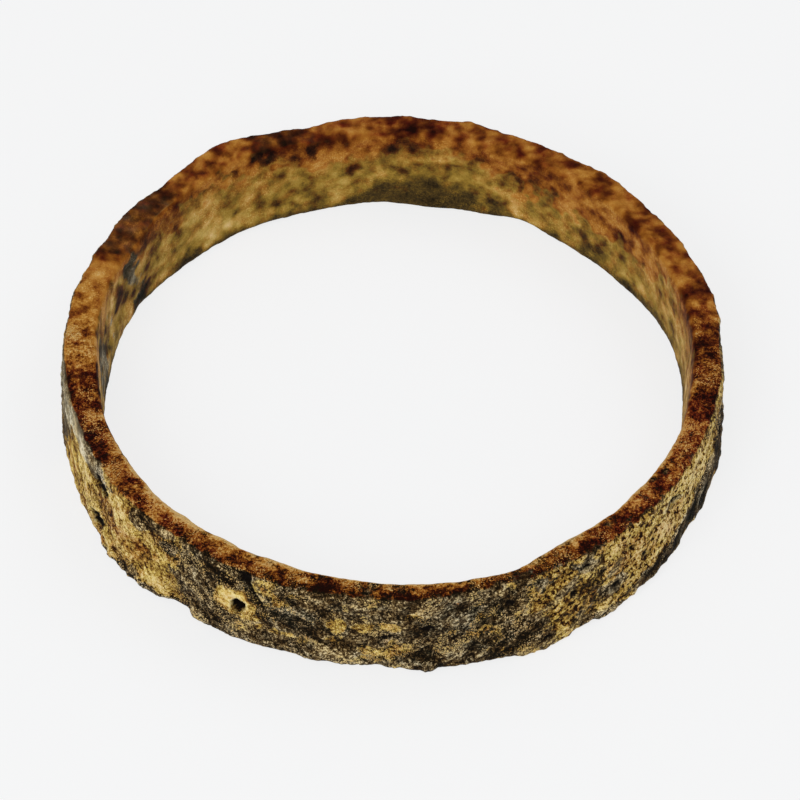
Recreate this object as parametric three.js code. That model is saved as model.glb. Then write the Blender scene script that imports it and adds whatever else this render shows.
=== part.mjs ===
import * as THREE from "three";

// A closed flat-band finger ring of brass, worn in use and then long buried: one solid piece of metal.
// Millimetres, +Z up. The ring lies on its foot, the worn lower edge, at z = 0, with its middle over the origin.
// Angles are degrees anticlockwise from +X seen from above, so 270 is the near side and 90 the far side.

// Driving dimensions
const OUTER_DIAMETER = 20.95; // side to side over the outer wall at the rim, without its lumps
const OUT_OF_ROUND = 0.2; // how much longer the band is from the near side to the far side
const BAND_HEIGHT = 3.25; // from the foot to the rim, the upper edge
const WALL_THICKNESS = 0.95; // through the band where it is neither worn nor swollen
const FOOT_FLARE = 0.13; // how much further out the outer wall stands at the foot than at the rim
const RIM_ROUNDING = 0.13; // radius of the two edges of the rim
const FOOT_ROUNDING = 0.16; // radius of the two edges of the foot
const MOST_ROUNDING = 0.45; // the most that one edge's rounding may take of the wall's thickness
const WALL_SWELL = 0.05; // how far the outer wall's middle stands out of a straight line
const RIPPLE = 0.022; // hammered unevenness of every surface
const FOOT_WEAR = 0.05; // hollows of the foot shallower than this are worn level with the flat

// Facets
const STEPS_AROUND = 200;
const STEPS_UP_A_WALL = 6;
const STEPS_ACROSS_AN_EDGE = 2;
const STEPS_ROUND_A_CORNER = 2;

// Lumps (by above 0) and hollows (by below 0) of the band's four edges. Each is centred at an angle,
// fades over the degrees before and after it, and moves the edge by a share of the wall's thickness.
const RIM_OUTER_EDGE = [
  { at: 3, before: 6, after: 5, by: -0.05 },
  { at: 16, before: 8, after: 8, by: 0.09 },
  { at: 28, before: 5, after: 8, by: 0.05 },
  { at: 47, before: 6, after: 6, by: 0.08 },
  { at: 77, before: 4, after: 4, by: 0.2 },
  { at: 94, before: 9, after: 7, by: 0.15 },
  { at: 107, before: 3, after: 4, by: -0.06 },
  { at: 124, before: 9, after: 9, by: 0.35 },
  { at: 148, before: 8, after: 9, by: 0.13 },
  { at: 174, before: 5, after: 5, by: 0.05 },
  { at: 199, before: 6, after: 6, by: -0.05 },
  { at: 219, before: 6, after: 5, by: 0.08 },
  { at: 232, before: 3, after: 5, by: -0.09 },
  { at: 252, before: 8, after: 5, by: 0.09 },
  { at: 274, before: 7, after: 5, by: 0.06 },
  { at: 288, before: 4, after: 4, by: -0.14 },
  { at: 338, before: 10, after: 12, by: -0.06 },
];
const FOOT_OUTER_EDGE = [
  { at: 172, before: 7, after: 8, by: 0.06 },
  { at: 207, before: 6, after: 4, by: 0.07 },
  { at: 219, before: 4, after: 6, by: 0.31 },
  { at: 231, before: 3, after: 4, by: -0.06 },
  { at: 239, before: 4, after: 4, by: 0.07 },
  { at: 252, before: 5, after: 5, by: -0.08 },
  { at: 267, before: 6, after: 5, by: -0.19 },
  { at: 276, before: 2, after: 3, by: 0.11 },
  { at: 296, before: 10, after: 7, by: 0.23 },
  { at: 318, before: 7, after: 6, by: 0.11 },
  { at: 333, before: 7, after: 12, by: -0.06 },
];
const RIM_INNER_EDGE = [
  { at: 122, before: 12, after: 13, by: 0.27 },
  { at: 152, before: 4, after: 4, by: -0.15 },
  { at: 188, before: 18, after: 7, by: -0.08 },
  { at: 226, before: 12, after: 20, by: 0.18 },
  { at: 258, before: 6, after: 6, by: 0.06 },
  { at: 291, before: 30, after: 9, by: 0.44 },
  { at: 316, before: 8, after: 10, by: 0.13 },
  { at: 338, before: 8, after: 8, by: 0.08 },
];
const FOOT_INNER_EDGE = [
  { at: 29, before: 9, after: 7, by: 0.07 },
  { at: 67, before: 8, after: 5, by: 0.14 },
  { at: 84, before: 8, after: 6, by: -0.13 },
  { at: 95, before: 6, after: 6, by: 0.06 },
  { at: 112, before: 6, after: 12, by: -0.06 },
  { at: 140, before: 8, after: 8, by: -0.05 },
  { at: 181, before: 14, after: 12, by: -0.29 },
  { at: 286, before: 25, after: 14, by: 0.21 },
  { at: 355, before: 12, after: 12, by: -0.26 },
];
const RIM_HEIGHT = [
  { at: 107, before: 4, after: 4, by: -0.07 },
  { at: 122, before: 7, after: 6, by: 0.05 },
  { at: 202, before: 7, after: 9, by: -0.04 },
  { at: 300, before: 4, after: 6, by: 0.05 },
  { at: 330, before: 8, after: 7, by: -0.04 },
];
// How far the foot is eaten away upwards. Between these places it is flat.
const FOOT_LIFT = [
  { at: 20, before: 9, after: 9, by: 0.15 },
  { at: 64, before: 7, after: 5, by: 0.21 },
  { at: 118, before: 8, after: 7, by: 0.13 },
  { at: 155, before: 9, after: 9, by: 0.18 },
  { at: 233, before: 6, after: 9, by: 0.21 },
  { at: 260, before: 7, after: 6, by: 0.17 },
  { at: 318, before: 7, after: 12, by: 0.16 },
  { at: 346, before: 7, after: 7, by: 0.13 },
];

// The waves of the unevenness: how many run round the ring, how far each drifts on the way up, and its share.
const RIPPLE_WAVES = [
  { round: 11, drift: 2, share: 0.6 },
  { round: 19, drift: -3, share: 0.42 },
  { round: 31, drift: 4, share: 0.36 },
];
const RIPPLE_START = { outer: 0.4, inner: 2.1, foot: 4.2, rim: 5.3 }; // where each surface's waves begin

const OUTER_RADIUS = OUTER_DIAMETER / 2;
const INNER_RADIUS = OUTER_RADIUS - WALL_THICKNESS;

// How far a list's lumps and hollows move an edge at an angle, in millimetres.
function moved(edge, degrees) {
  const shares = edge.map((lump) => {
    const turn = THREE.MathUtils.euclideanModulo(degrees - lump.at + 180, 360) - 180;
    const faded = turn / (turn < 0 ? lump.before : lump.after);
    return lump.by * Math.exp(-faded * faded);
  });
  return WALL_THICKNESS * shares.reduce((sum, share) => sum + share, 0);
}

// Low uneven waves over a surface. They run whole numbers of times round the ring, so that they meet where it
// closes, and they drift sideways on the way up.
function ripple(degrees, up, start) {
  const a = THREE.MathUtils.degToRad(degrees);
  const heights = RIPPLE_WAVES.map((wave) => wave.share * Math.sin(wave.round * (a + start) + wave.drift * up));
  return RIPPLE * heights.reduce((sum, height) => sum + height, 0);
}

// The plain band's section as a closed outline: four rounded corners joined by straight sides.
function plainSection() {
  const foot = Math.min(FOOT_ROUNDING, MOST_ROUNDING * WALL_THICKNESS);
  const rim = Math.min(RIM_ROUNDING, MOST_ROUNDING * WALL_THICKNESS);
  const corners = [
    { r: OUTER_RADIUS - foot, z: foot, round: foot, from: -90, steps: STEPS_UP_A_WALL },
    { r: OUTER_RADIUS - rim, z: BAND_HEIGHT - rim, round: rim, from: 0, steps: STEPS_ACROSS_AN_EDGE },
    { r: INNER_RADIUS + rim, z: BAND_HEIGHT - rim, round: rim, from: 90, steps: STEPS_UP_A_WALL },
    { r: INNER_RADIUS + foot, z: foot, round: foot, from: 180, steps: STEPS_ACROSS_AN_EDGE },
  ];
  const onCorner = (corner, share) => {
    const a = THREE.MathUtils.degToRad(corner.from + 90 * share);
    return new THREE.Vector2(corner.r + corner.round * Math.cos(a), corner.z + corner.round * Math.sin(a));
  };
  const outline = [];
  corners.forEach((corner, i) => {
    for (let k = 0; k <= STEPS_ROUND_A_CORNER; k++) outline.push(onCorner(corner, k / STEPS_ROUND_A_CORNER));
    const start = onCorner(corner, 1);
    const end = onCorner(corners[(i + 1) % corners.length], 0);
    for (let k = 1; k < corner.steps; k++) outline.push(start.clone().lerp(end, k / corner.steps));
  });
  outline.push(outline[0].clone());
  return outline;
}

// Where a point of the plain band ends up in the worn one. across runs from 0 on the inner wall to 1 on the
// outer wall, and up from 0 at the foot to 1 at the rim.
function wornPoint(degrees, across, up) {
  const { lerp } = THREE.MathUtils;
  const a = THREE.MathUtils.degToRad(degrees);
  const oval = (OUT_OF_ROUND / 2) * Math.sin(a) ** 2;
  const outerFoot = OUTER_RADIUS + FOOT_FLARE + moved(FOOT_OUTER_EDGE, degrees);
  const outerRim = OUTER_RADIUS + moved(RIM_OUTER_EDGE, degrees);
  const swell = WALL_SWELL * 4 * up * (1 - up);
  const outer = lerp(outerFoot, outerRim, up) + swell + ripple(degrees, up, RIPPLE_START.outer);
  const innerFoot = INNER_RADIUS + moved(FOOT_INNER_EDGE, degrees);
  const innerRim = INNER_RADIUS + moved(RIM_INNER_EDGE, degrees);
  const inner = lerp(innerFoot, innerRim, up) + ripple(degrees, up, RIPPLE_START.inner);
  const foot = Math.max(0, moved(FOOT_LIFT, degrees) + ripple(degrees, 0, RIPPLE_START.foot) - FOOT_WEAR);
  const rim = BAND_HEIGHT + moved(RIM_HEIGHT, degrees) + ripple(degrees, 1, RIPPLE_START.rim);
  const r = lerp(inner, outer, across) + oval;
  return new THREE.Vector3(r * Math.cos(a), r * Math.sin(a), lerp(foot, rim, up));
}

// The band: the plain section turned round the axis, then every corner of it moved to its worn place.
function wornBand() {
  const geometry = new THREE.LatheGeometry(plainSection(), STEPS_AROUND);
  geometry.rotateX(Math.PI / 2);
  const position = geometry.getAttribute("position");
  const plain = new THREE.Vector3();
  for (let i = 0; i < position.count; i++) {
    plain.fromBufferAttribute(position, i);
    const degrees = THREE.MathUtils.radToDeg(Math.atan2(plain.y, plain.x));
    const across = (Math.hypot(plain.x, plain.y) - INNER_RADIUS) / WALL_THICKNESS;
    const worn = wornPoint(degrees, across, plain.z / BAND_HEIGHT);
    position.setXYZ(i, worn.x, worn.y, worn.z);
  }
  geometry.computeBoundingBox();
  const middle = geometry.boundingBox.getCenter(new THREE.Vector3());
  geometry.translate(-middle.x, -middle.y, -geometry.boundingBox.min.z);
  geometry.computeVertexNormals();
  return geometry;
}

const corrodedBrass = new THREE.MeshStandardMaterial({ color: 0x7a5a2c, metalness: 0.6, roughness: 0.55 });
const band = new THREE.Mesh(wornBand(), corrodedBrass);
band.name = "ring_band";

const ring = new THREE.Group();
ring.add(band);
export default ring;
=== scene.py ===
# %% [markdown]
# # A worn brass ring
# This is a plain finger ring of cast brass that lay in the ground for a long time. It is a closed flat band,
# about 21 mm across and a little over 3 mm high, and it lies on its lower edge, the foot.
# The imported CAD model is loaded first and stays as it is. It gives the band's size and its large dents.
# The script then makes one finer piece over it, with the corrosion's relief and colours.

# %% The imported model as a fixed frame
import math

import bpy
import numpy as np
from mathutils import Matrix, Vector, noise
from mathutils.bvhtree import BVHTree


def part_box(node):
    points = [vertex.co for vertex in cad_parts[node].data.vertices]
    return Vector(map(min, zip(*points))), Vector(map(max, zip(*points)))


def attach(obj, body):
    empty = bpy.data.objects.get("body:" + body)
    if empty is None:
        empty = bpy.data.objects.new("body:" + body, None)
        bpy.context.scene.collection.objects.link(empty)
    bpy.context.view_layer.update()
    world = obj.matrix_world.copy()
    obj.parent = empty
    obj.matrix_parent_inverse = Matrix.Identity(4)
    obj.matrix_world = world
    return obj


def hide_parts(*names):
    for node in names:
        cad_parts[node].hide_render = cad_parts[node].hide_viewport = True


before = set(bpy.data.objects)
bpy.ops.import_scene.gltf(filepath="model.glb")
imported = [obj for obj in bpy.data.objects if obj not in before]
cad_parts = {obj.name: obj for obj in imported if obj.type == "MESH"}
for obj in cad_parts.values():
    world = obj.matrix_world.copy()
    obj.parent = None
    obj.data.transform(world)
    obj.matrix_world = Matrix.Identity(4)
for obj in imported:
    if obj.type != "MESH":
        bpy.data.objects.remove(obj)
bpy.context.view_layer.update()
MM = 0.001  # a millimetre in Blender's metres
cad_low, cad_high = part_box("ring_band")
BAND_HEIGHT = cad_high.z / MM
print("the CAD band measures", [round(side / MM, 2) for side in cad_high - cad_low], "mm")

# %% [markdown]
# ## The camera
# The photograph looks down at the ring at 47 degrees from close by, and leans by one degree.
# A camera can be aimed with a constraint, or placed by its own three directions. The directions are used
# here, because they give the lean as well.

# %% The camera
LOOKS_DOWN = math.radians(47)
LEANS = math.radians(1.06)
DISTANCE = 150  # mm
LOOKS_AT = Vector((0.249, 0.677, 0))  # mm
SENSOR_WIDTH = 36  # mm
LENS = 208.4  # mm, for that sensor
NEAREST_SEEN = 5  # mm

sight = Vector((0, math.cos(LOOKS_DOWN), -math.sin(LOOKS_DOWN)))
level = Vector((1, 0, 0))
raised = level.cross(sight)
rightward = level * math.cos(LEANS) + raised * math.sin(LEANS)
upward = raised * math.cos(LEANS) - level * math.sin(LEANS)

camera = bpy.data.objects.new("camera", bpy.data.cameras.new("camera"))
camera.data.sensor_width = SENSOR_WIDTH
camera.data.lens = LENS
camera.data.clip_start = NEAREST_SEEN * MM
facing = Matrix((rightward, upward, -sight)).transposed().to_4x4()
camera.matrix_world = Matrix.Translation((LOOKS_AT - sight * DISTANCE) * MM) @ facing
bpy.context.collection.objects.link(camera)
bpy.context.scene.camera = camera
print("the camera is", DISTANCE, "mm from the ring")

# %% [markdown]
# ## Colours and nodes
# Every colour is written as the hex value that a picture shows. Blender's sockets take linear light, so one
# function turns one into the other. One more adds a node, with its settings and links.

# %% Helpers for colours and nodes
def linear(hex_colour):
    """A picture's sRGB hex colour as the linear red, green, blue and alpha that a socket takes."""
    parts = [int(hex_colour[i:i + 2], 16) / 255 for i in (1, 3, 5)]
    return [c / 12.92 if c < 0.04045 else ((c + 0.055) / 1.055) ** 2.4 for c in parts] + [1]


def add_node(tree, kind, inputs=None, stops=None, output=0, **settings):
    """Adds a node and returns one of its outputs. An input that is another node's output is linked, and any
    other is set."""
    made = tree.nodes.new(kind)
    for name, value in settings.items():
        setattr(made, name, value)
    for name, value in (inputs or {}).items():
        if isinstance(value, bpy.types.NodeSocket):
            tree.links.new(value, made.inputs[name])
        else:
            made.inputs[name].default_value = value
    for i, (place, colour) in enumerate(stops or []):
        ramp = made.color_ramp.elements
        stop = ramp[i] if i < 2 else ramp.new(place)
        stop.position, stop.color = place, linear(colour)
    return made.outputs[output] if made.outputs else made


def new_material(name):
    """A material and its empty tree."""
    material = bpy.data.materials.new(name)
    material.use_nodes = True
    material.node_tree.nodes.clear()
    return material, material.node_tree


print("a mid brass brown in linear light is", [round(c, 3) for c in linear("#7a5a2c")[:3]])

# %% [markdown]
# ## The table and the light
# The photograph was taken in a white light tent: the paper under the ring glows almost as bright as the sky
# above it, and the shadows are hardly there. A white floor alone would turn grey round the ring, so part of
# its brightness is given off and part is reflected.

# %% The white paper
PAPER_SIZE = 600 * MM
PAPER_GLOW = 0.78

half = PAPER_SIZE / 2
paper_corners = [(-half, -half, 0), (half, -half, 0), (half, half, 0), (-half, half, 0)]
paper = bpy.data.objects.new("paper", bpy.data.meshes.new("paper"))
paper.data.from_pydata(paper_corners, [], [(0, 1, 2, 3)])
bpy.context.collection.objects.link(paper)

lit_paper, tree = new_material("matt white paper lit from below")
matt = add_node(tree, "ShaderNodeBsdfDiffuse", {"Color": linear("#6e6f70")})
glow = add_node(tree, "ShaderNodeEmission", {"Color": linear("#fefefe"), "Strength": PAPER_GLOW})
both = add_node(tree, "ShaderNodeAddShader", {0: matt, 1: glow})
add_node(tree, "ShaderNodeOutputMaterial", {"Surface": both})
paper.data.materials.append(lit_paper)
print("the paper is", PAPER_SIZE / MM, "mm square")

# %% The tent's light
SKY_STRENGTH = 0.5
world = bpy.data.worlds.new("light tent")
bpy.context.scene.world = world
world.use_nodes = True
background = world.node_tree.nodes["Background"].inputs
background["Color"].default_value = linear("#fdfdff")
background["Strength"].default_value = SKY_STRENGTH

# name, place in mm, side in mm, watts
TENT_LAMPS = [
    ("lamp over the near left", (-70, -150, 140), 120, 0.21),
    ("lamp over the far right", (110, 60, 180), 140, 0.095),
]
for name, place, side, watts in TENT_LAMPS:
    lamp = bpy.data.objects.new(name, bpy.data.lights.new(name, "AREA"))
    lamp.data.size = side * MM
    lamp.data.energy = watts
    lamp.location = Vector(place) * MM
    lamp.rotation_euler = (-lamp.location).to_track_quat("-Z", "Y").to_euler()
    bpy.context.collection.objects.link(lamp)
bpy.context.scene.view_settings.view_transform = "Standard"
print("the tent has", len(TENT_LAMPS), "lamps")

# %% [markdown]
# ## The band as a fine even grid
# The CAD band has facets a third of a millimetre wide, and corrosion is much finer. The facets could be
# subdivided, but they are uneven, and the relief would be coarse on the walls and crowded at the corners.
# Instead a new grid is laid round the band: rays go out from a line inside the metal, evenly spaced round the
# section, and each one stops where it meets the CAD surface.

# %% The section's outline and the rays
STEPS_ROUND = 864  # 0.076 mm apart on the outer wall
STEPS_OF_SECTION = 112  # 0.076 mm apart too
WALL = 0.95  # mm, the band's thickness where it is neither worn nor swollen
LOW_SHARE, HIGH_SHARE = 0.2, 0.8  # of the band's height, where the wall's middle is measured
PAST_THE_WALL = 0.05  # mm, so that the second ray starts inside the metal

corners_across = np.array([0, 1, 1, -1, -1, 0]) * WALL / 2
corners_up = np.array([0, 0, 1, 1, 0, 0]) * BAND_HEIGHT
walked = np.concatenate([[0], np.cumsum(np.hypot(np.diff(corners_across), np.diff(corners_up)))])
walk = np.arange(STEPS_OF_SECTION) / STEPS_OF_SECTION * walked[-1]
outline_across = np.interp(walk, walked, corners_across)
outline_up = np.interp(walk, walked, corners_up)
core_up = np.clip(outline_up, WALL / 2, BAND_HEIGHT - WALL / 2)

cad_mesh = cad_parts["ring_band"].data
cad_points = [v.co / MM for v in cad_mesh.vertices]
cad_facets = [p.vertices[:] for p in cad_mesh.polygons]
cad_surface = BVHTree.FromPolygons(cad_points, cad_facets)


def wall_middles(outward):
    """The radius of the wall's middle low down and high up, found by two rays from the ring's axis."""
    found = []
    for share in (LOW_SHARE, HIGH_SHARE):
        inner_hit = cad_surface.ray_cast(Vector((0, 0, share * BAND_HEIGHT)), outward)[0]
        outer_hit = cad_surface.ray_cast(inner_hit + outward * PAST_THE_WALL, outward)[0]
        found.append((inner_hit.xy.length + outer_hit.xy.length) / 2)
    return found


grid = np.empty((STEPS_ROUND, STEPS_OF_SECTION, 3))
for i in range(STEPS_ROUND):
    turn = 2 * math.pi * i / STEPS_ROUND
    outward = Vector((math.cos(turn), math.sin(turn), 0))
    low, high = wall_middles(outward)
    for j in range(STEPS_OF_SECTION):
        rise = (core_up[j] / BAND_HEIGHT - LOW_SHARE) / (HIGH_SHARE - LOW_SHARE)
        middle = low + (high - low) * rise
        start = outward * middle + Vector((0, 0, core_up[j]))
        aim = outward * outline_across[j] + Vector((0, 0, outline_up[j] - core_up[j]))
        grid[i, j] = cad_surface.ray_cast(start, aim)[0]
print("the grid has", grid.shape[0] * grid.shape[1], "points")

# %% [markdown]
# The rays land on flat facets. A few rounds of averaging with the neighbours round the ring, and a little
# round the section, melt the facets together and leave the corners.

# %% Melting the facets
ROUNDS_ALONG = 8
ROUNDS_OF_SECTION = 2


def melted(values, axis, rounds):
    """The values after so many rounds of averaging with their two neighbours."""
    for _ in range(rounds):
        values = (np.roll(values, 1, axis) + 2 * values + np.roll(values, -1, axis)) / 4
    return values


def outward_normals(points):
    """The grid's normals, from the directions to its neighbours."""
    along = np.roll(points, -1, 0) - np.roll(points, 1, 0)
    round_section = np.roll(points, -1, 1) - np.roll(points, 1, 1)
    normals = np.cross(along, round_section)
    return normals / np.linalg.norm(normals, axis=2, keepdims=True)


smooth = melted(melted(grid, 0, ROUNDS_ALONG), 1, ROUNDS_OF_SECTION)
normals = outward_normals(smooth)
print("melting moved the points by at most", round(float(np.abs(smooth - grid).max()), 3), "mm")

# %% [markdown]
# ## Where things are on the band
# Each finish is placed by its angle round the ring and its height above the foot, as a restorer would
# note it on an unrolled drawing. Angles run anticlockwise from the right, so 270 degrees is the near side.

# %% Angle, height and side of each point
def fade(low, high, values):
    """0 below low, 1 above high, and a smooth rise between them. It falls instead where low is above high."""
    t = np.clip((values - low) / (high - low), 0, 1)
    return t * t * (3 - 2 * t)


angle = np.degrees(np.arctan2(smooth[..., 1], smooth[..., 0])) % 360
farness = np.sin(np.radians(angle))  # 1 on the far side, 0 at the left and right, and -1 on the near side
radius = np.hypot(smooth[..., 0], smooth[..., 1])
up = smooth[..., 2]
facing_out = (normals[..., :2] * smooth[..., :2]).sum(2) / radius
facing_up = normals[..., 2]
on_outer = fade(0.35, 0.75, facing_out)
on_inner = fade(0.35, 0.75, -facing_out)
on_rim = fade(0.45, 0.8, facing_up)
on_foot = fade(0.45, 0.8, -facing_up)

# across runs over the rim from 0 at the inner wall to 1 at the outer wall. Its ends are the least and the
# greatest radius among the four points of each section that lie nearest to a height just below the rim.
BELOW_THE_RIM = 0.2  # mm
near_rim = np.abs(outline_up - (BAND_HEIGHT - BELOW_THE_RIM)).argsort()[:4]
outer_edge = radius[:, near_rim].max(1, keepdims=True)
inner_edge = radius[:, near_rim].min(1, keepdims=True)
across = np.clip((radius - inner_edge) / (outer_edge - inner_edge), 0, 1)
shares = [round(float((part > 0.5).mean()), 2) for part in (on_outer, on_inner, on_rim)]
print("of the points, the outer wall, the inner wall and the rim have", shares)

# %% Uneven layers of noise
OCTAVE_RATIO = 2  # each octave is half the size of the one before


def scaled_noise(places, steepness, octaves):
    """Noise at every place, scaled so that two thirds of it is between -1 and 1."""
    listed = places.reshape(-1, 3).tolist()
    layer = np.array([noise.fractal(place, steepness, OCTAVE_RATIO, octaves) for place in listed])
    layer = layer.reshape(angle.shape)
    layer -= layer.mean()
    return layer / layer.std()


def mottle(size, octaves, rough, start):
    """Noise with blotches about so many millimetres wide. Another start gives another pattern."""
    return scaled_noise(smooth / size + start, -math.log2(rough), octaves)


blotches = mottle(1.3, 3, 0.8, 11.3)
flecks = mottle(0.6, 2, 0.8, 61.9)
spots = mottle(0.45, 2, 0.6, 19.7)
crumbs = mottle(0.3, 2, 0.7, 47.1)
drift_along = mottle(0.9, 3, 0.6, 3.7)
drift_up = mottle(0.9, 3, 0.6, 83.9)
print("blotches run from", round(float(blotches.min()), 1), "to", round(float(blotches.max()), 1))

# %% Soft-edged patches
MM_A_DEGREE = math.radians(1) * 10.4  # on the outer wall
NEAR_MIDDLE = 270  # degrees
PATCH_FULL, PATCH_GONE = 0.7, 1.25  # of a patch's half size, where its edge starts and ends


def along_wall(at):
    """How far each point is from an angle, in mm round the outer wall."""
    return ((angle - at + 180) % 360 - 180) * MM_A_DEGREE


def patches(ovals, height, ragged=0.11):
    """The sum of oval patches. Each has its angle, its height in mm, half its width and half its height in
    mm, its lean in degrees, and its amount. Noise makes their edges ragged, by so many millimetres."""
    total = np.zeros(angle.shape)
    for at, at_height, half_wide, half_tall, lean, amount in ovals:
        along = along_wall(at) + ragged * drift_along
        above = height - at_height + ragged * drift_up
        c, s = math.cos(math.radians(lean)), math.sin(math.radians(lean))
        apart = np.hypot((along * c + above * s) / half_wide, (above * c - along * s) / half_tall)
        total += amount * fade(PATCH_GONE, PATCH_FULL, apart)
    return total


def round_the_ring(stops):
    """A value that changes evenly between the angles that are given."""
    return np.interp(angle, *np.array(stops).T, period=360)


def streaks(long, short, lean, start):
    """Noise drawn out along a direction on the outer wall, into streaks of long by short millimetres."""
    along = along_wall(NEAR_MIDDLE)
    c, s = math.cos(math.radians(lean)), math.sin(math.radians(lean))
    drawn_out = [(along * c + up * s) / long, (up * c - along * s) / short, np.full(up.shape, start)]
    return scaled_noise(np.stack(drawn_out, 2), steepness=0.5, octaves=3)


print("one degree on the outer wall is", round(MM_A_DEGREE, 3), "mm")

# %% [markdown]
# ## The outer wall's crust and gold
# The wall is covered by a thin black and brown crust of copper oxide and earth. Where the crust has come
# away, the sandy gold of the corroded brass shows, paler and warmer, and the eye reads the edge between them
# as broken. One noise could spread the two evenly, but on the real ring they lie in large fields, so both are
# placed. The share of gold is painted first, and then how light or dark either of them is. A list whose name
# ends in ROUND gives pairs of an angle and the amount there.

# %% Where the crust has come away
CRUST_RAGGED = 0.07  # mm
STREAKS_MEET = 268  # degrees
GOLD_ROUND = [(0, 0.4), (60, 0.45), (100, 0.35), (150, 0.45), (180, 0.3), (190, 0.4), (197, 0.75),
              (214, 0.88), (228, 0.85), (231.5, 0.5), (233, 0.1), (240, 0.05), (258, 0.08), (262, 0.25),
              (271, 0.26), (275, 0.12), (290, 0.12), (296, 0.42), (306, 0.5), (316, 0.72), (340, 0.8),
              (350, 0.6)]
GOLD_PATCHES = [
    # the grey band under the rim and the edge of the crust on the left
    (187, 2.5, 1.5, 1.0, 0, -1.0),
    (200, 2.95, 1.6, 0.5, -8, -1.3),
    (208.5, 2.8, 0.8, 0.45, 0, -1.2),
    (213.5, 2.9, 0.5, 0.25, 0, -0.5),
    (218, 2.75, 0.5, 0.4, 0, 0.4),
    (225.5, 2.95, 0.9, 0.34, 22, -1.4),
    (230, 2.5, 0.35, 0.35, 0, -0.9),
    (221, 0.5, 0.5, 0.25, 0, -0.4),
    (223, 0.12, 2.3, 0.28, 0, -0.9),
    (228, 0.8, 0.5, 0.35, 0, 0.3),
    # the crater's gold ring and the flakes round it
    (243, 1.9, 0.62, 0.46, 0, 1.5),
    (245.6, 1.6, 0.26, 0.36, 0, 1.0),
    (249.3, 2.75, 0.42, 0.3, 0, 0.5),
    (253, 2.6, 0.5, 0.2, 20, 0.3),
    (247, 1.3, 0.3, 0.12, 0, 0.6),
    (250.5, 1.0, 0.6, 0.2, 12, 0.5),
    (246.5, 0.85, 0.6, 0.35, 0, 0.2),
    (259, 0.9, 0.8, 0.35, 0, 0.12),
    # flakes past the crater
    (261.6, 1.95, 0.33, 0.33, 0, 0.5),
    (265.7, 1.9, 0.3, 0.2, 0, 0.5),
    (262, 1.2, 0.5, 0.2, 0, 0.22),
    (267, 0.9, 0.6, 0.25, 0, 0.2),
    (270.5, 2.0, 0.3, 0.2, 0, 0.25),
    (274, 2.5, 0.3, 0.15, 0, 0.35),
    (269, 1.45, 0.4, 0.1, 0, -0.6),
    (286.5, 1.5, 0.35, 0.8, 10, 0.25),
    (289, 0.5, 0.5, 0.2, 0, 0.35),
    # the pitted gold on the right
    (298, 2.45, 0.8, 0.33, 28, 0.5),
    (294.5, 1.9, 0.35, 0.2, 0, 0.35),
    (293, 1.1, 0.6, 0.45, 0, -0.3),
    (300.5, 1.2, 0.5, 0.6, 10, 0.45),
    (305, 2.75, 0.35, 0.25, 0, -0.5),
    (304, 1.9, 0.3, 0.3, 0, 0.25),
    (310.5, 1.2, 0.6, 0.3, 0, -0.5),
    (307, 0.45, 0.6, 0.2, 0, -0.4),
    (316, 1.9, 0.5, 0.6, 0, 0.2),
    (327, 2.45, 0.6, 0.08, -15, -0.8),
    # the dark foot on the right
    (309, 0.2, 0.9, 0.2, 0, -0.8),
    (320, 0.45, 0.9, 0.4, 10, -1.3),
    (329, 0.7, 1.0, 0.55, 16, -1.4),
    (340, 0.95, 1.2, 0.8, 14, -1.4),
    (350, 1.3, 0.9, 1.1, 0, -1.2),
    # the hidden far side, plainer
    (30, 1.6, 1.4, 0.7, 20, 0.3),
    (75, 1.9, 1.8, 0.6, -10, 0.3),
    (128, 2.0, 1.5, 0.7, 15, 0.3),
    (163, 1.3, 1.5, 0.6, 0, 0.25),
]
far_side = fade(-0.2, 0.2, farness)

# The streaks run down towards the middle of the near side, from the left and from the right.
drawn = np.where(angle < STREAKS_MEET, streaks(1.0, 0.3, -35, 5.1), streaks(1.0, 0.3, 35, 9.7))

# The far side has few patches of its own, so broad blotches break up its crust.
gold = round_the_ring(GOLD_ROUND) + patches(GOLD_PATCHES, up, CRUST_RAGGED)
gold += (0.08 + 0.14 * far_side) * blotches + 0.1 * flecks + 0.08 * drawn
print("gold covers", round(float((gold[on_outer > 0.5] > 0.5).mean()), 2), "of the outer wall")

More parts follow.
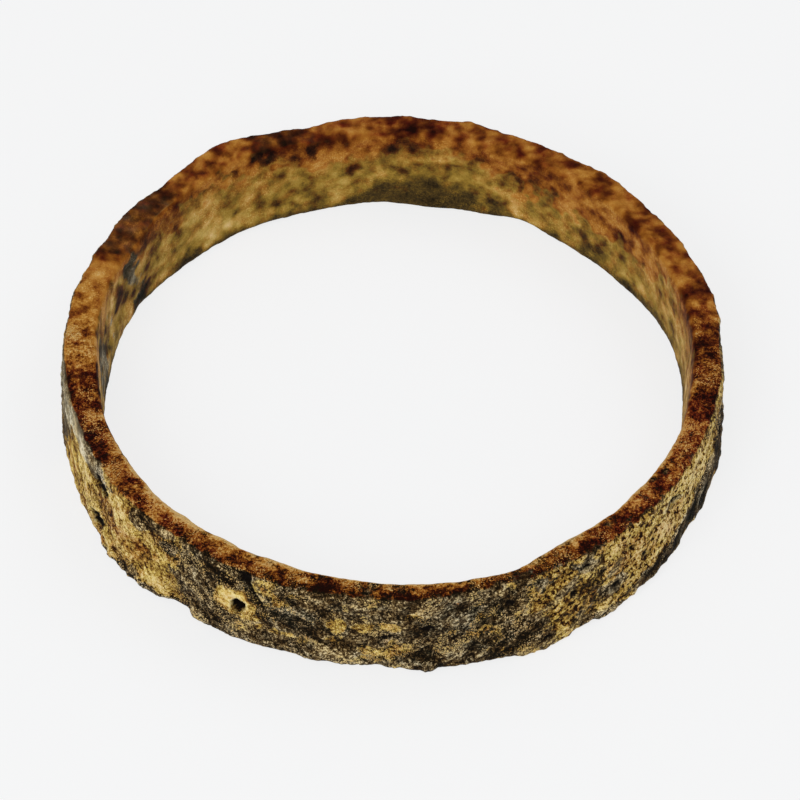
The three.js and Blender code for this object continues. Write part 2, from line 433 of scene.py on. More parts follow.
# %% How light or dark the outer wall is
SHADE_ROUND = [(0, 0.45), (90, 0.45), (180, 0.5), (190, 0.5), (196, 0.62), (215, 0.6), (228, 0.58),
               (234, 0.34), (258, 0.36), (266, 0.42), (276, 0.37), (290, 0.36), (300, 0.54), (308, 0.6),
               (316, 0.66), (340, 0.72)]
SHADE_PATCHES = [
    (191, 0.9, 0.8, 0.4, 0, -0.12),
    (189, 2.5, 1.3, 0.6, 0, 0.14),
    (199, 2.7, 1.1, 0.45, -8, 0.18),
    (204, 2.1, 0.6, 0.5, 0, 0.12),
    (204, 2.8, 1.0, 0.3, 0, 0.1),
    (205, 1.6, 0.6, 0.5, -20, 0.12),
    (211.7, 2.55, 0.4, 0.3, 0, -0.2),
    (210, 1.1, 0.5, 0.25, 0, 0.14),
    (214, 1.8, 0.7, 0.5, 0, -0.1),
    (217, 2.55, 0.55, 0.42, 0, 0.42),
    (228, 0.9, 0.45, 0.35, 0, 0.08),
    (223, 0.95, 0.6, 0.3, 0, 0.12),
    (219.5, 0.6, 0.5, 0.25, 0, -0.16),
    (224, 3.0, 1.0, 0.3, 22, -0.2),
    (223, 0.12, 2.3, 0.3, 0, -0.3),
    (228.5, 2.55, 0.5, 0.45, 0, -0.34),
    (236, 1.7, 0.4, 0.5, 0, 0.12),
    (233.5, 1.0, 0.25, 0.7, 0, -0.14),
    (240.5, 2.7, 0.6, 0.3, 0, -0.34),
    (240, 0.9, 0.5, 0.35, 0, -0.2),
    (242.8, 1.95, 0.6, 0.4, 0, 0.66),
    (245.6, 1.6, 0.24, 0.34, 0, 0.45),
    (243.2, 1.15, 0.5, 0.12, 0, -0.14),
    (247, 1.2, 0.4, 0.16, 0, 0.2),
    (249, 2.75, 0.45, 0.3, 0, 0.32),
    (247.6, 1.9, 0.28, 0.8, 28, -0.36),
    (254.5, 1.7, 0.8, 0.35, -30, -0.14),
    (253.5, 2.2, 0.6, 0.14, -35, 0.04),
    (251, 1.0, 0.6, 0.22, 12, 0.2),
    (246.5, 0.85, 0.6, 0.35, 0, 0.16),
    (257.5, 2.6, 0.5, 0.3, 0, 0.1),
    (261.6, 1.95, 0.3, 0.33, 0, 0.18),
    (265.7, 1.9, 0.28, 0.2, 0, 0.18),
    (259, 2.0, 0.2, 0.6, 0, -0.12),
    (259, 0.9, 0.8, 0.35, 0, 0.14),
    (265, 0.8, 0.6, 0.35, 0, 0.14),
    (270, 1.8, 0.6, 0.35, 0, 0.14),
    (269, 0.9, 0.5, 0.3, 0, 0.12),
    (272, 2.6, 1.1, 0.25, 0, 0.12),
    (268, 2.85, 0.6, 0.2, 0, 0.06),
    (272, 1.55, 0.8, 0.14, 10, -0.08),
    (276.5, 1.9, 0.45, 0.35, 0, -0.22),
    (277, 2.7, 0.6, 0.25, 0, 0.1),
    (276, 0.9, 0.5, 0.35, 0, -0.16),
    (281, 0.9, 0.5, 0.3, 0, 0.12),
    (276.6, 0.2, 0.5, 0.35, 0, -0.2),
    (281, 2.15, 0.4, 0.3, 0, 0.14),
    (285, 2.85, 0.6, 0.2, 0, 0.12),
    (289, 0.8, 0.8, 0.35, 0, -0.18),
    (289, 2.6, 0.6, 0.25, 0, -0.12),
    (287, 1.8, 0.3, 0.4, 0, 0.1),
    (294.5, 1.8, 0.5, 0.35, 0, 0.24),
    (294, 0.9, 0.55, 0.35, 0, -0.2),
    (298, 2.45, 0.7, 0.3, 28, 0.1),
    (300.5, 1.2, 0.5, 0.6, 0, 0.06),
    (301, 2.75, 0.7, 0.25, 0, -0.18),
    (306, 1.7, 0.5, 0.4, 0, -0.3),
    (306, 2.5, 0.5, 0.3, 0, 0.1),
    (310.5, 1.2, 0.4, 0.25, 0, -0.14),
    (315, 1.9, 0.6, 0.6, 0, 0.1),
    (324, 1.9, 0.6, 0.45, 0, 0.24),
    (325, 2.8, 0.6, 0.25, 0, 0.1),
    (328, 2.8, 1.1, 0.3, 0, 0.2),
    (336, 2.5, 0.9, 0.5, 0, 0.24),
    (336, 1.75, 0.7, 0.25, 0, -0.06),
    (309, 0.25, 0.9, 0.25, 0, -0.2),
    (318, 0.6, 0.5, 0.4, 8, -0.16),
    (323, 0.55, 0.9, 0.5, 8, -0.6),
    (331, 0.65, 0.9, 0.55, 14, -0.4),
    (338, 0.85, 1.0, 0.7, 14, -0.45),
    (349, 1.2, 1.2, 1.1, 0, -0.45),
]
outer_tone = round_the_ring(SHADE_ROUND) + patches(SHADE_PATCHES, up, CRUST_RAGGED)
outer_tone += 0.045 * flecks + 0.06 * drawn
print("the outer wall's mean tone is", round(float(outer_tone[on_outer > 0.5].mean()), 2))

# %% [markdown]
# ## The rim's skin of oxide
# The rim was rubbed smooth in use and has kept a thin skin of copper oxide, which also runs down the inner
# wall. It is orange where it is thin and maroon to almost black where it is thick, and it gives the rim its
# warm, dull sheen beside the gritty crust. The height that a patch has in RIM_PATCHES is its place across the
# rim in millimetres, from the inner wall.

# %% The rim's tone
RIM_ROUND = [(0, 0.26), (6, 0.26), (9, 0.38), (60, 0.45), (76, 0.44), (84, 0.25), (88, 0.25), (92, 0.42),
             (97, 0.42), (106, 0.42), (112, 0.26), (117, 0.3), (122, 0.44), (135, 0.44), (139, 0.18),
             (148, 0.26), (156, 0.3), (159.5, 0.34), (162, 0.4), (166, 0.52), (170, 0.58), (187, 0.62),
             (190, 0.22), (200, 0.18), (206, 0.14), (210, 0.42), (214, 0.26), (224, 0.32), (234, 0.36),
             (238, 0.24), (243, 0.36), (250, 0.36), (254, 0.2), (270, 0.2), (286, 0.24), (300, 0.1),
             (305, 0.2), (308, 0.1), (313, 0.1), (316, 0.28), (330, 0.24), (342, 0.26), (346, 0.24),
             (355, 0.24)]
RIM_PATCHES = [
    (222, 0.75, 1.6, 0.25, 0, 0.12),
    (270, 0.3, 0.7, 0.2, 0, 0.1),
    (282, 0.75, 0.6, 0.22, 0, 0.12),
    (311, 0.75, 0.7, 0.25, 0, 0.12),
    (339, 0.75, 0.9, 0.25, 0, 0.12),
    (350, 0.3, 0.8, 0.3, 0, 0.12),
    (52, 0.35, 0.6, 0.3, 0, 0.14),
    (41, 0, 0.9, 0.2, 0, -0.14),
    (231, 0.25, 0.7, 0.2, 0, 0.14),
    (248, 0.5, 0.5, 0.3, 0, 0.12),
    (278, 0.2, 1.3, 0.22, 0, 0.26),
    (294, 0.15, 0.8, 0.15, 0, 0.2),
    (305, 0.2, 0.35, 0.25, 0, 0.35),
    (320, 0.25, 0.4, 0.22, 0, 0.25),
    (328, 0.7, 0.6, 0.2, 0, 0.14),
    (340, 0.5, 0.3, 0.2, 0, 0.2),
    (192, 0.6, 0.3, 0.35, 40, 0.18),
    (203.5, 0.5, 0.3, 0.3, 0, -0.12),
    (122, 0.3, 0.6, 0.2, 0, 0.14),
    (50, 0.4, 0.2, 0.35, 0, -0.14),
    (68, 0.4, 0.2, 0.35, 0, -0.12),
    (60, 0.75, 0.9, 0.25, 0, -0.12),
    (80, 0.75, 0.8, 0.25, 0, 0.14),
    (90, 0.2, 0.8, 0.25, 0, -0.16),
    (100, 0.75, 1.2, 0.25, 0, 0.1),
    (111, 0.75, 0.6, 0.25, 0, 0.08),
    (120, 0, 0.9, 0.14, 0, -0.05),
    (26, 0, 1.4, 0.12, 0, 0.13),
    (80, 0, 0.7, 0.12, 0, 0.12),
]
# how much of the skin is maroon
MAROON_ROUND = [(0, 0.4), (40, 0.2), (85, 0.4), (150, 0.3), (165, 0.1), (186, 0.2), (191, 0.7),
                (205, 0.7), (212, 0.5), (222, 0.6), (236, 0.4), (242, 0.15), (300, 0.15), (308, 0.6),
                (316, 0.9), (345, 0.95), (352, 0.5)]
# how whole the skin is on the rim
SKIN_ROUND = [(0, 1), (80, 1), (106, 0.75), (112, 0.5), (120, 0.75), (136, 0.7), (140, 0.5), (156, 0.55),
              (160, 1), (236, 0.95), (250, 0.8), (284, 0.75), (296, 0.6), (304, 0.9)]
# the height down to which the skin covers the inner wall, in mm
SKIN_DOWN_ROUND = [(0, 2.7), (22, 2.7), (32, 1.9), (65, 1.8), (80, 2.8), (88, 2.8), (96, 2.3),
                   (108, 2.4), (116, 2.9), (132, 2.8), (142, 2.95), (150, 3.3), (200, 3.0), (340, 2.7)]
# how dark the painted shade on the near rim's outer edge is
PAINTED_EDGE_SHADE_ROUND = [(180, 0.25), (200, 0.1), (212, 0.04), (242, 0.04), (250, 0.26), (300, 0.26),
                    (310, 0.1), (350, 0.08)]
PALE = 0.56

# On the near side the inner edge is paler, from wear and painted light; the outer edge has painted shade.
near_side = fade(-0.1, -0.5, farness)
edge_wear_and_painted_light = 0.14 * fade(0.6, 0.3, across) + 0.3 * fade(0.24, 0.1, across)
edge_wear_and_painted_light -= round_the_ring(PAINTED_EDGE_SHADE_ROUND) * fade(0.4, 0.9, across)

rim_tone = round_the_ring(RIM_ROUND) + patches(RIM_PATCHES, across * WALL) + 0.1 * blotches + 0.05 * flecks
rim_tone += (0.06 + 0.06 * fade(0.4, 0.1, farness)) * spots + 0.04 * crumbs

# What is pale already is made little paler by the noise over it, so that no cream spots appear.
rim_tone = np.minimum(rim_tone, PALE + 0.4 * (rim_tone - PALE))
# the near rim's edges get their wear, painted light and painted shade, but not on the inner wall
rim_tone += edge_wear_and_painted_light * near_side * (1 - on_inner)

# A hair's breadth of the near inner edge is painted pale, a painted highlight along its rounded lip.
painted_lip_highlight = near_side * fade(0.15, 0.03, across) * fade(2.9, 3.1, up)
rim_tone += 0.6 * painted_lip_highlight
print("the rim's mean tone is", round(float(rim_tone[on_rim > 0.5].mean()), 2))

# %% [markdown]
# ## The inner wall's light and dark
# The finger polished the inner wall, and fine ochre earth has settled on it. It looks like soft suede beside
# the crust: red-brown in blotches near the rim, bluish grey at the left where the earth has fallen off, and
# dark along the foot, where damp stayed longest.

# %% The inner wall's tone and its rust
INNER_ROUND = [(0, 0.64), (12, 0.6), (20, 0.54), (40, 0.56), (90, 0.55), (130, 0.57), (146, 0.52),
               (152, 0.45), (160, 0.54), (168, 0.66), (178, 0.66), (190, 0.5), (220, 0.45), (300, 0.45),
               (340, 0.6)]
INNER_PATCHES = [
    (141, 2.5, 0.9, 0.8, 0, 0.1),
    (162, 2.5, 0.6, 0.5, 0, 0.2),
    (116, 3.1, 0.8, 0.2, 0, -0.12),
    (129, 0.8, 1.5, 0.45, 0, 0.18),
    (139.8, 2.45, 0.5, 0.36, 0, -0.2),
    (134, 2.3, 1.0, 0.6, 0, 0.08),
    (144.8, 2.3, 0.25, 0.9, 0, -0.18),
    (28, 1.8, 0.9, 0.4, 0, 0.1),
    (150, 0.7, 0.4, 0.4, 0, -0.1),
    (153, 1.9, 0.6, 0.6, 0, 0.2),
    (151, 0.8, 0.4, 0.3, 0, -0.14),
    (119, 2.8, 1.2, 0.4, 0, -0.12),
    (31, 2.7, 0.7, 0.4, 0, 0.12),
    (41, 2.75, 1.0, 0.4, 0, -0.34),
    (108, 2.8, 0.7, 0.35, 0, -0.14),
    (20, 2.8, 0.8, 0.4, 0, 0.2),
    (22, 1.7, 0.8, 0.3, 0, -0.1),
    (90, 0.8, 0.8, 0.3, 0, -0.14),
    (80, 2.6, 0.8, 0.45, 0, 0.2),
    (99, 2.0, 0.5, 0.4, 0, -0.1),
    (78, 1.7, 1.2, 0.3, 0, 0.08),
    (95, 1.6, 0.8, 0.3, 0, 0.1),
    (72, 2.2, 0.5, 0.4, 0, 0.08),
    (64.5, 1.5, 0.2, 0.35, 0, -0.16),
    (66, 2.9, 0.3, 0.3, 0, -0.12),
    (55, 0.8, 1.8, 0.5, 0, -0.08),
    (33, 2.0, 0.25, 0.3, 0, -0.12),
    (24, 2.6, 0.8, 0.5, 0, 0.12),
    (161, 2.0, 0.35, 0.7, -20, -0.26),
    (170, 1.5, 0.6, 0.6, 0, -0.2),
    (174, 2.4, 0.7, 0.4, 0, -0.16),
]
BLUE_GREY = [(155, 2.6, 0.6, 0.8, -25, 0.6), (152, 1.0, 0.5, 1.0, -15, 0.5),
             (168, 1.3, 1.0, 1.1, 0, 0.4), (177, 1.5, 1.0, 1.4, 0, 0.6)]
# how high the dark band along the foot reaches, in mm
FOOT_DARK_ROUND = [(10, 0.3), (26, 0.45), (46, 0.45), (52, 0.35), (66, 0.35), (72, 0.55), (78, 1.15),
                   (93, 1.3), (99, 0.6), (104, 0.3), (145, 0.3)]
INNER_RUST = [
    (139.8, 2.45, 0.55, 0.4, 0, 1.2),
    (118, 1.65, 0.3, 0.2, 0, 0.4),
    (95, 2.6, 0.7, 0.4, 0, 0.3),
    (74, 2.9, 0.8, 0.35, 0, 0.4),
    (48, 2.8, 1.4, 0.5, 0, 0.3),
    (29, 2.0, 0.5, 0.4, 0, 0.3),
    (12, 2.5, 1.2, 0.6, 0, 0.3),
    (0, 1.6, 2.0, 1.4, 0, 0.25),
]
FOOT_TONE = 0.19

foot_dark = fade(0.35, -0.3, up - round_the_ring(FOOT_DARK_ROUND) + 0.08 * blotches + 0.05 * flecks)
blue_grey = patches(BLUE_GREY, up)
inner_tone = round_the_ring(INNER_ROUND) + patches(INNER_PATCHES, up) + 0.08 * blotches + 0.05 * flecks
inner_tone += 0.08 * spots - 0.03 - 0.12 * fade(2.3, 3.1, up)
dark_spots = fade(0.44, 0.24, inner_tone)
inner_tone += foot_dark * (FOOT_TONE + 0.03 * flecks - inner_tone)
inner_earth = fade(0.3, 0.7, on_inner + 0.08 * crumbs - blue_grey * on_inner)
inner_tone -= 0.14 * blue_grey

# There is more rust towards the rim and in the dark spots, and less along the foot.
inner_rust = 0.22 + patches(INNER_RUST, up) + 0.45 * fade(1.0, 3.0, up) + 0.1 * flecks + 0.15 * blotches
inner_rust += 0.7 * dark_spots - 0.5 * foot_dark
print("the inner wall's mean tone is", round(float(inner_tone[on_inner > 0.5].mean()), 2))

# %% [markdown]
# On the outer wall the bare gold is redder where rust from the soil has soaked in, and the crust is greyer
# where ash and pale salts cling to it.

# %% Rust and ash on the outer wall
OUTER_RUST = [
    (221.5, 1.6, 0.7, 0.5, 0, 0.5),
    (217, 1.8, 0.35, 0.3, 0, 0.35),
    (213.5, 1.8, 0.7, 0.5, 0, 0.4),
    (221, 0.7, 0.6, 0.3, 0, 0.3),
    (199, 1.2, 0.3, 0.5, 0, 0.3),
    (235.5, 0.9, 0.25, 0.6, 0, 0.4),
    (212.3, 0.55, 0.4, 0.25, 0, 0.9),
    (265, 1.9, 1.2, 0.6, 0, -0.25),
    (314, 1.9, 1.0, 0.7, 0, 0.4),
    (323, 1.9, 0.6, 0.4, 0, 0.4),
    (311, 1.6, 0.4, 0.3, 0, 0.3),
    (304, 1.2, 0.6, 0.5, 0, 0.2),
    (329, 1.5, 0.4, 0.3, 0, 0.3),
    (150, 1.6, 1.2, 0.5, 0, 0.4),
    (60, 2.2, 0.8, 0.5, 0, 0.4),
]
OUTER_ASH = [
    (187, 2.3, 1.6, 1.1, 0, 0.4),
    (200, 2.8, 1.4, 0.5, -5, 0.5),
    (211, 2.9, 0.8, 0.4, 0, 0.4),
    (226, 2.9, 1.0, 0.4, 20, -0.4),
    (254, 2.1, 0.9, 0.5, -30, 0.45),
    (282, 2.2, 0.8, 0.7, 0, 0.4),
    (287, 1.0, 0.8, 0.6, 0, 0.2),
    (301, 2.95, 1.2, 0.3, 0, 0.5),
    (310, 1.2, 0.5, 0.5, 0, 0.3),
    (314, 2.95, 0.8, 0.25, 0, 0.4),
    (336, 0.6, 1.6, 0.45, 14, 0.4),
]
outer_rust = 0.22 + patches(OUTER_RUST, up) + 0.14 * crumbs
outer_ash = 0.3 + patches(OUTER_ASH, up) + 0.14 * flecks
print("rust on the outer wall reaches", round(float(outer_rust.max()), 2))

# %% [markdown]
# ## The relief
# Corroded brass is lumpy, gritty and pitted. The relief could come from a displacement node, but then it
# would be only in the picture. It is made in the mesh, so that the edges and the shadows have it too.
# The black crust stands a few hundredths of a millimetre above the bare gold.

# %% Pits and relief
PITS = [  # angle, height, half width and half height in mm, lean, depth in mm
    (244.2, 1.68, 0.2, 0.28, -12, 0.22),
    (210.6, 0.9, 0.42, 0.22, -10, 0.14),
    (211.6, 2.5, 0.4, 0.24, 0, 0.14),
    (245.6, 3.02, 0.22, 0.3, 0, 0.12),
    (247.6, 2.4, 0.09, 0.5, 30, 0.08),
    (276.6, 2.0, 0.2, 0.13, 0, 0.08),
    (269, 1.5, 0.4, 0.05, 8, 0.05),
    (297, 0.55, 0.3, 0.07, 0, 0.06),
    (290.5, 2.4, 0.16, 0.1, 0, 0.06),
    (311, 1.25, 0.2, 0.14, 0, 0.08),
    (305, 2.75, 0.13, 0.1, 0, 0.07),
    (318, 1.6, 0.12, 0.1, 0, 0.07),
    (327, 2.55, 0.35, 0.06, -15, 0.07),
    (325.5, 2.3, 0.3, 0.05, -15, 0.06),
    (315, 2.3, 0.1, 0.1, 0, 0.06),
    (302, 1.9, 0.12, 0.1, 0, 0.06),
    (308, 2.2, 0.1, 0.08, 0, 0.05),
]
SWELLS = [  # angle, height, half width and half height in mm, lean, rise in mm
    (214.3, 0.4, 0.4, 0.6, 0, 0.13),
    (219, 0.3, 0.35, 0.5, 0, -0.08),
    (227, 0.3, 0.7, 0.6, 0, 0.11),
    (232.5, 0.3, 0.5, 0.6, 0, -0.08),
    (236.5, 0.3, 0.4, 0.5, 0, 0.08),
    (263, 0.3, 1.5, 0.6, 0, 0.07),
    (261, 0.3, 1.0, 0.6, 0, 0.06),
    (275.8, 0.2, 0.5, 0.4, 0, 0.04),
    (276.9, 0.2, 0.2, 0.35, 0, 0.06),
    (294.5, 0.3, 0.5, 0.5, 0, 0.09),
    (299.5, 0.3, 0.5, 0.5, 0, 0.06),
    (305.3, 0.3, 0.35, 0.5, 0, -0.06),
    (309, 0.3, 0.4, 0.5, 0, 0.09),
    (313, 0.3, 0.5, 0.5, 0, 0.04),
    (253, 2.1, 0.7, 0.16, -35, 0.03),
    (236, 2.2, 0.4, 0.3, 0, 0.04),
    (241.5, 1.2, 0.5, 0.2, 0, 0.03),
    (300, 1.5, 0.5, 0.3, 20, 0.04),
]
INNER_SWELLS = [
    (234.5, 3.1, 1.2, 0.6, 0, 0.08),
    (164, 0.4, 2.0, 0.7, 0, 0.07),
]
PIT_RAGGED = 0.03  # mm
ROUND_ABOUT = 30  # rounds of averaging, which reach about a third of a millimetre
MOST_ABOVE_RIM = 0.04  # mm

# The pits are painted black, partly as dirt in them and partly as painted shade in the hollow.
pit_shapes = [pit[:5] + (1,) for pit in PITS]
pits = np.clip(3 * patches(pit_shapes, up, PIT_RAGGED), 0, 1)
pit_depths = patches(PITS, up, PIT_RAGGED) * on_outer

# Lumps, crumbs and grit, the step down from the crust to the bare gold, and the streaks, all in mm
lumps = mottle(0.9, 2, 0.5, 5.9)
grit = mottle(0.2, 2, 0.8, 29.3)
bare = fade(0.4, 0.6, gold) * on_outer
relief = 0.02 * lumps + 0.01 * crumbs + 0.006 * grit - 0.025 * bare + 0.011 * drawn * on_outer

# Wear smoothed the inner wall and the rim. Nothing stands out of the foot, because the ring lies on it.
relief = relief * (1 - 0.55 * on_inner) * (1 - 0.4 * on_rim)
relief += patches(SWELLS, up, 0) * on_outer + patches(INNER_SWELLS, up, 0) * on_inner
relief = np.where(on_foot > 0.3, np.minimum(relief, 0), relief)

# What stands above its surroundings is paler and what lies below is darker.
# This is partly wear and dirt, and partly painted light on the ridges and painted shade in the hollows.
relief_wear_and_shading = relief - melted(melted(relief, 0, ROUND_ABOUT), 1, ROUND_ABOUT)
relief_wear_and_shading = np.clip(relief_wear_and_shading / relief_wear_and_shading.std(), -2.5, 2.5)
outer_tone += 0.07 * relief_wear_and_shading - 0.035 + 0.035 * bare - 0.16 * on_rim
rim_tone += 0.04 * relief_wear_and_shading + 0.02

worn = smooth + normals * (relief - pit_depths)[..., None]
worn[..., 2] = np.clip(worn[..., 2], 0, BAND_HEIGHT + MOST_ABOVE_RIM)
print("the relief runs from", round(float(relief.min()), 3), "to", round(float(relief.max()), 3), "mm")

# %% [markdown]
# ## The mesh
# The grid is closed both ways, round the ring and round the section, so every point joins the next one and
# the last joins the first.

# %% The corroded band
numbers = np.arange(STEPS_ROUND * STEPS_OF_SECTION).reshape(STEPS_ROUND, STEPS_OF_SECTION)
next_round = np.roll(numbers, -1, 0)
faces = np.stack([numbers, next_round, np.roll(next_round, -1, 1), np.roll(numbers, -1, 1)], 2)
mesh = bpy.data.meshes.new("corroded_band")
mesh.from_pydata((worn * MM).reshape(-1, 3).tolist(), [], faces.reshape(-1, 4).tolist())
mesh.shade_smooth()
band = bpy.data.objects.new("corroded_band", mesh)
bpy.context.collection.objects.link(band)
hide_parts("ring_band")
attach(band, "root")
print("the band has", 2 * len(mesh.polygons), "triangles")

# %% [markdown]
# The tones go with the mesh as attributes, which the material reads. The fine grain is plain to see on the
# near wall. It is softer on the polished inner wall, on the far rim, at the far left and low on the right, so
# a softness is painted too.

# %% What the band is painted with
SOFT_SPOTS = [
    (243, 1.92, 0.6, 0.42, 0, 0.5),
    (204, 2.8, 1.3, 0.5, -8, 0.55),
    (321, 0.35, 1.0, 0.4, 10, 0.6),
    (332, 0.65, 1.1, 0.55, 14, 0.65),
    (345, 1.0, 1.2, 0.9, 14, 0.65),
]
MOST_SOFT = 0.95
far_left = fade(208, 196, angle) * fade(170, 180, angle) * on_outer
far_rim = on_rim * fade(-0.2, 0.4, farness)
softness = 0.8 * on_inner + 0.9 * far_rim + 0.7 * far_left + patches(SOFT_SPOTS, up) * on_outer
softness = np.clip(softness, 0, MOST_SOFT)

# The skin is chipped along the near rim's outer edge and ends raggedly down the inner wall.
ragged_edge = 0.2 * crumbs + 0.12 * flecks - 0.5 * fade(0.75, 1.0, across)
skin_on_rim = on_rim * round_the_ring(SKIN_ROUND) + 0.05 * crumbs + near_side * ragged_edge
skin_reaches = round_the_ring(SKIN_DOWN_ROUND) - 0.28 * blotches - 0.26 * spots
skin_on_inner = on_inner * fade(-0.5, 0.5, up - skin_reaches)
maroon = (round_the_ring(MAROON_ROUND) + 0.1 * flecks - 0.16 * spots) * (1 - 0.5 * on_inner)
maroon -= 0.25 * near_side * fade(0.5, 0.1, across)

painted = {
    "gold": gold * on_outer,
    "outer_tone": outer_tone * (1 - on_inner) + inner_tone * on_inner,
    "rim_tone": rim_tone,
    "inner_tone": inner_tone,
    "rim_skin": np.maximum(skin_on_rim, skin_on_inner),
    "inner_earth": inner_earth,
    "rust": outer_rust * on_outer + inner_rust * on_inner,
    "maroon": maroon,
    "ash": outer_ash * (1 - on_inner) + on_inner,
    # the gold on the right is the most finely pitted
    "pitted": fade(288, 300, angle) * fade(352, 340, angle) * 0.65 + 0.35,
    # the pits' black, partly dirt and partly painted shade
    "pit": pits * on_outer,
    "softness": softness,
    # the crust's pale glints, painted highlights of rubbed metal, lie in drifts
    "painted_glint_drifts": 0.15 + 0.85 * fade(-0.8, 1.8, blotches + 0.7 * drawn + flecks * 0.5),
}
for name, amounts in painted.items():
    attribute = mesh.attributes.new(name, "FLOAT", "POINT")
    attribute.data.foreach_set("value", amounts.astype(np.float32).ravel())
print("the band is painted with", len(painted), "values")

# %% [markdown]
# ## Long-buried brass
# Cast brass that has lain in the earth loses zinc from its skin. What is left is a sandy, golden, porous
# surface under a crust of black and brown copper salts. It scatters light and hardly shines, so the base is
# rough, with a weak reflection. Only rubbed spots are still metal.

# %% The grain of the corroded metal
corroded, tree = new_material("long buried cast brass")
place = add_node(tree, "ShaderNodeTexCoord", output="Object")
millimetres = add_node(tree, "ShaderNodeVectorMath", {0: place, "Scale": 1 / MM}, operation="SCALE")


def noise_in_metal(to_a_mm, **settings):
    """Noise in the metal, with about so many blotches to a millimetre."""
    return add_node(tree, "ShaderNodeTexNoise", {"Vector": millimetres, "Scale": to_a_mm, **settings})


def painted_value(name):
    """What the mesh is painted with under this name."""
    return add_node(tree, "ShaderNodeAttribute", output="Fac", attribute_name=name)


def worked_out(operation, *terms, **settings):
    """The result of one step of arithmetic."""
    return add_node(tree, "ShaderNodeMath", dict(enumerate(terms)), operation=operation, **settings)


def stretched(value, low, high, to_low, to_high):
    """A value between low and high, stretched evenly to lie between to_low and to_high and held there."""
    return add_node(tree, "ShaderNodeMapRange", {"Value": value, 1: low, 2: high, 3: to_low, 4: to_high})


def mixed_colour(share, first, second):
    """The first colour moved towards the second by a share."""
    return add_node(tree, "ShaderNodeMix", {0: share, 6: first, 7: second}, output=2, data_type="RGBA")


# Grains of corroded brass are 0.03 to 0.1 mm wide. They are drawn 0.04 to 0.12 mm wide, so that they show.
GRAINS_A_MM = 10
PAINTED_GLINTS_A_MM = 24
PITS_A_MM = 6
grains = noise_in_metal(GRAINS_A_MM, Detail=2, Roughness=0.8)
painted_glints = noise_in_metal(PAINTED_GLINTS_A_MM, Detail=0)
hollows = noise_in_metal(PITS_A_MM, Detail=1, Roughness=0.6)

# Light and dark grains everywhere, with pale glints among them in their drifts: painted highlights of rubbed
# metal
grain_part = stretched(grains, 0.25, 0.75, -0.7, 0.7)
painted_glint_part = worked_out("MULTIPLY", stretched(painted_glints, 0.58, 0.7, 0.0, 1.0), painted_value("painted_glint_drifts"))
crisp = worked_out("SUBTRACT", 1.0, painted_value("softness"))
speckle = worked_out("MULTIPLY", worked_out("ADD", grain_part, painted_glint_part), crisp)

# Pinholes where zinc was lost, which darken the gold only
pitting = worked_out("MULTIPLY", stretched(hollows, 0.49, 0.38, 0.0, -0.7), painted_value("pitted"))
print("grains are", round(1 / GRAINS_A_MM, 2), "mm apart and pits", round(1 / PITS_A_MM, 2), "mm")

# %% [markdown]
# Each surface has two ranges of colours, from its darkest to its palest: one warmer and one cooler or redder.
# The painted tone with the grain added chooses the colour within a range, so that pale grains lie among dark
# ones as they do in the crust. A second, coarser noise moves it from one range to the other.

# %% The ranges of colours
# copper oxide with earth in it, and the same under ash and pale salts, which look cooler and chalky
BROWN_CRUST = [(0, "#100801"), (0.15, "#231605"), (0.3, "#3c2a12"), (0.45, "#523d21"), (0.6, "#705a36"),
               (0.75, "#988055"), (0.9, "#ccb27a"), (1, "#ead6a2")]
GREY_CRUST = [(0, "#0c0a03"), (0.15, "#1c180a"), (0.3, "#332c1b"), (0.45, "#4a4130"), (0.6, "#6a604b"),
              (0.75, "#948a6e"), (0.9, "#c4b898"), (1, "#e6dcc0")]
# brass that has lost its zinc, which looks dry and sandy, and the same stained by rust
SANDY_GOLD = [(0, "#221003"), (0.15, "#48290a"), (0.3, "#6c4b1a"), (0.45, "#8f6f30"), (0.6, "#b29342"),
              (0.75, "#d0b15a"), (0.9, "#e6cc7c"), (1, "#f2e0a0")]
RUSTY_GOLD = [(0, "#120502"), (0.15, "#2c1205"), (0.3, "#4e270a"), (0.45, "#754412"), (0.6, "#986422"),
              (0.75, "#b8883c"), (0.9, "#cfa860"), (1, "#e0c28c")]
# the skin of copper oxide, which glows orange where it is thin and goes wine-dark where it is thick
ORANGE_OXIDE = [(0, "#1c0500"), (0.12, "#3a1102"), (0.24, "#532506"), (0.36, "#75400e"), (0.5, "#965c1c"),
                (0.65, "#b27a30"), (0.8, "#c8984e"), (1, "#dcb878")]
MAROON_OXIDE = [(0, "#160200"), (0.12, "#2e0601"), (0.24, "#470f03"), (0.36, "#5f1f07"), (0.5, "#803c12"),
                (0.65, "#a06024"), (0.8, "#bc823c"), (1, "#d4a45e")]
# fine earth rubbed into the polished inner wall, soft and without sparkle
OCHRE_EARTH = [(0, "#120d04"), (0.1, "#2a200e"), (0.2, "#453517"), (0.35, "#6b531e"), (0.5, "#8e7029"),
               (0.62, "#a38438"), (0.75, "#b6974a"), (1, "#d2b66e")]

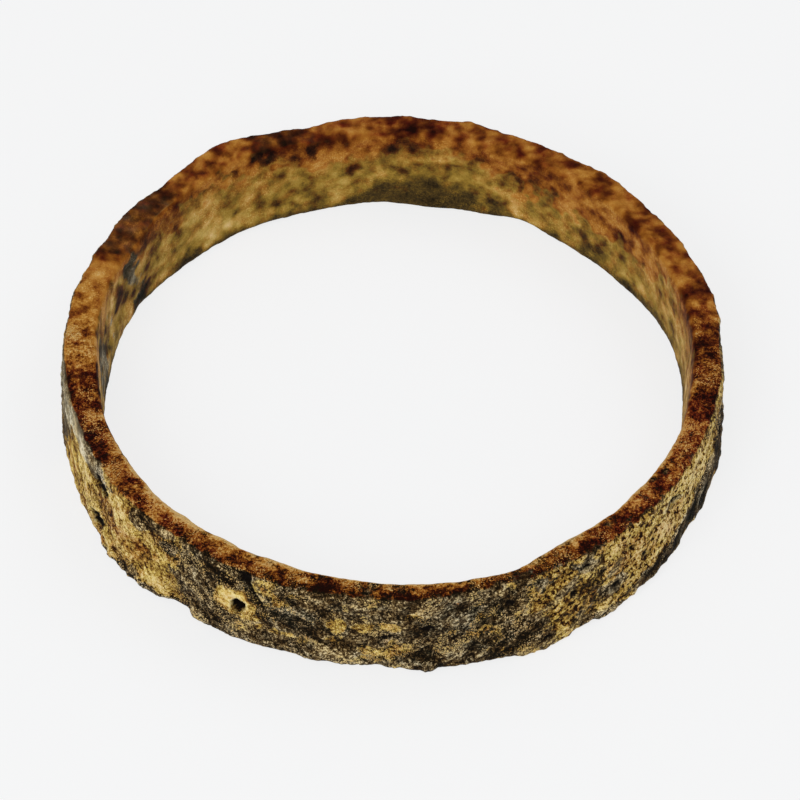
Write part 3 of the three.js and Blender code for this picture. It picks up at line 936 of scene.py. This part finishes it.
STAINS_A_MM = 2.6
two_ranges = {
    # the painted tone, the painted share of the second range, how strongly the grain shows, and both ranges
    "crust": ("outer_tone", "ash", 1.06, BROWN_CRUST, GREY_CRUST),
    "gold": ("outer_tone", "rust", 0.8, SANDY_GOLD, RUSTY_GOLD),
    "skin": ("rim_tone", "maroon", 0.7, ORANGE_OXIDE, MAROON_OXIDE),
    "earth": ("inner_tone", "rust", 0.8, OCHRE_EARTH, RUSTY_GOLD),
}
stain = stretched(noise_in_metal(STAINS_A_MM, Detail=3, Roughness=0.7), 0.3, 0.7, -0.5, 0.5)
values, colours = {}, {}
for name, (tone_name, share_name, contrast, *ranges) in two_ranges.items():
    tone = painted_value(tone_name)
    if name == "gold":
        tone = worked_out("ADD", tone, pitting)
    value = worked_out("MULTIPLY_ADD", speckle, contrast, tone)
    share = worked_out("ADD", painted_value(share_name), stain, use_clamp=True)
    first, second = [add_node(tree, "ShaderNodeValToRGB", {"Fac": value}, stops) for stops in ranges]
    values[name] = value
    colours[name] = mixed_colour(share, first, second)
print("the colours are ready for:", ", ".join(colours))

# %% [markdown]
# The crust comes first. Gold, earth and skin are laid over it in turn, where their painted share passes a
# half. The grain breaks their edges, so that they look chipped and not brushed on.

# %% The surfaces joined
PIT_DIRT_AND_SHADE = "#0c0704"
joins = [
    # the finish, its painted share, and how ragged and how soft its edge is
    ("gold", "gold", 0.45, 0.08),
    ("earth", "inner_earth", 0.2, 0.3),
    ("skin", "rim_skin", 0.6, 0.22),
]
value, colour = values["crust"], colours["crust"]
for name, share_name, ragged, soft in joins:
    share = worked_out("MULTIPLY_ADD", speckle, ragged, painted_value(share_name))
    share = stretched(share, 0.5 - soft, 0.5 + soft, 0.0, 1.0)
    value = add_node(tree, "ShaderNodeMix", {0: share, 2: value, 3: values[name]})
    colour = mixed_colour(share, colour, colours[name])
# The pits are painted black, partly dirt and partly painted shade.
colour = mixed_colour(painted_value("pit"), colour, linear(PIT_DIRT_AND_SHADE))
print("the colour takes", len(tree.nodes), "nodes")

# %% [markdown]
# Dark crust is the dullest, and pale grains, which are rubbed, are a little smoother. Only the palest have a
# share of bare metal, which gives the small warm sparks. The same grain that colours the surface lifts it.

# %% Gloss, grain and the finished surface
GRAIN_HEIGHT = 0.06 * MM
GRAIN_STRENGTH = 0.6
WEAK_SHINE = 0.05
roughness = stretched(value, 0.1, 0.8, 0.78, 0.55)
bare_metal = stretched(value, 0.75, 1.0, 0.0, 0.5)
height = worked_out("ADD", speckle, pitting)
bump_settings = {"Height": height, "Strength": GRAIN_STRENGTH, "Distance": GRAIN_HEIGHT}
surface = add_node(tree, "ShaderNodeBsdfPrincipled", {
    "Base Color": colour,
    "Metallic": bare_metal,
    "Roughness": roughness,
    "Specular IOR Level": WEAK_SHINE,
    "Normal": add_node(tree, "ShaderNodeBump", bump_settings),
})
add_node(tree, "ShaderNodeOutputMaterial", {"Surface": surface})
mesh.materials.append(corroded)
print("the material has", len(tree.nodes), "nodes")
